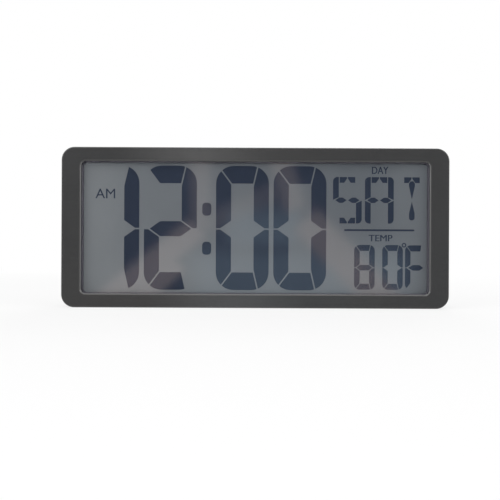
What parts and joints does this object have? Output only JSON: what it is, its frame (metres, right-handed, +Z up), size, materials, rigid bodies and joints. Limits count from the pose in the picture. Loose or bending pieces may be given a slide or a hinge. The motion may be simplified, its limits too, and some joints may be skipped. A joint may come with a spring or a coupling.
{
  "type": "day clock",
  "caption": "Wide desk and wall clock with a large segmented day and time display, rear keys, keyholes, a hinged battery door and a fold-out stand.",
  "frame": {"origin": "bottom centre of the whole clock, on the surface that it stands on", "axes": "+Z up, -Y out of the display towards the viewer, +X to the right seen from the front"},
  "size_m": [0.36, 0.03, 0.149],
  "materials": {
    "bezel_plastic": "satin, fine grain",
    "rear_plastic": "spark-eroded matt grain",
    "inner_plastic": "plain moulded",
    "lens_clear": "polished acrylic",
    "tape_black": "black foam tape",
    "spacer_black": "matt black",
    "polariser_film": "neutral grey film",
    "display_glass": "polished",
    "reflector_film": "diffuse foil",
    "strip_rubber": "layered silicone",
    "board_laminate": "solder mask",
    "chip_black": "moulded epoxy",
    "can_metal": "drawn can",
    "sensor_epoxy": "dipped bead",
    "switch_plastic": "plain moulded",
    "key_plastic": "satin",
    "screw_steel": "black oxide",
    "cell_jacket": "printed jacket, plain",
    "contact_nickel": "nickel plated",
    "lead_red": "insulated wire",
    "lead_black": "insulated wire",
    "stand_plastic": "spark-eroded matt grain",
    "foot_rubber": "soft matt"
  },
  "bodies": {
    "case": {"front_bezel": "bezel_plastic", "display_lens": "lens_clear", "lens_tape": "tape_black", "lcd_spacer": "spacer_black", "front_polariser": "polariser_film", "front_glass": "display_glass", "rear_glass": "display_glass", "reflector": "reflector_film", "contact_strips": "strip_rubber", "support_plate": "inner_plastic", "main_board": "board_laminate", "controller_chip": "chip_black", "clock_crystal": "can_metal", "board_capacitors": "can_metal", "buzzer": "chip_black", "temperature_sensor": "sensor_epoxy", "button_switches": "switch_plastic", "rear_cover": "rear_plastic", "case_screws": "screw_steel", "battery_cells": "cell_jacket", "link_contact": "contact_nickel", "positive_contact": "contact_nickel", "negative_contact": "contact_nickel", "battery_springs": "contact_nickel", "positive_lead": "lead_red", "negative_lead": "lead_black"},
    "stand": {"stand_leg": "stand_plastic", "stand_feet": "foot_rubber"},
    "door": {"battery_door": "rear_plastic"},
    "set_key": {"set_button": "key_plastic", "set_plunger": "switch_plastic"},
    "mode_key": {"mode_button": "key_plastic", "mode_plunger": "switch_plastic"},
    "up_key": {"up_button": "key_plastic", "up_plunger": "switch_plastic"},
    "down_key": {"down_button": "key_plastic", "down_plunger": "switch_plastic"},
    "alarm_key": {"alarm_button": "key_plastic", "alarm_plunger": "switch_plastic"}
  },
  "joints": [
    {"name": "stand_hinge", "type": "hinge", "parent": "case", "child": "stand", "pos_m": [0, 0.0126, 0.088], "axis": [1, 0, 0], "range_deg": [0, 30]},
    {"name": "door_hinge", "type": "hinge", "parent": "case", "child": "door", "pos_m": [-0.118, 0.0137, 0.0298], "axis": [-1, 0, 0], "range_deg": [0, 85]},
    {"name": "set_press", "type": "slide", "parent": "case", "child": "set_key", "axis": [0, -1, 0], "range_m": [0, 0.0006], "stiffness_N_per_m": 600, "springref_m": -0.0005},
    {"name": "mode_press", "type": "slide", "parent": "case", "child": "mode_key", "axis": [0, -1, 0], "range_m": [0, 0.0006], "stiffness_N_per_m": 600, "springref_m": -0.0005},
    {"name": "up_press", "type": "slide", "parent": "case", "child": "up_key", "axis": [0, -1, 0], "range_m": [0, 0.0006], "stiffness_N_per_m": 600, "springref_m": -0.0005},
    {"name": "down_press", "type": "slide", "parent": "case", "child": "down_key", "axis": [0, -1, 0], "range_m": [0, 0.0006], "stiffness_N_per_m": 600, "springref_m": -0.0005},
    {"name": "alarm_press", "type": "slide", "parent": "case", "child": "alarm_key", "axis": [0, -1, 0], "range_m": [0, 0.0006], "stiffness_N_per_m": 600, "springref_m": -0.0005}
  ]
}
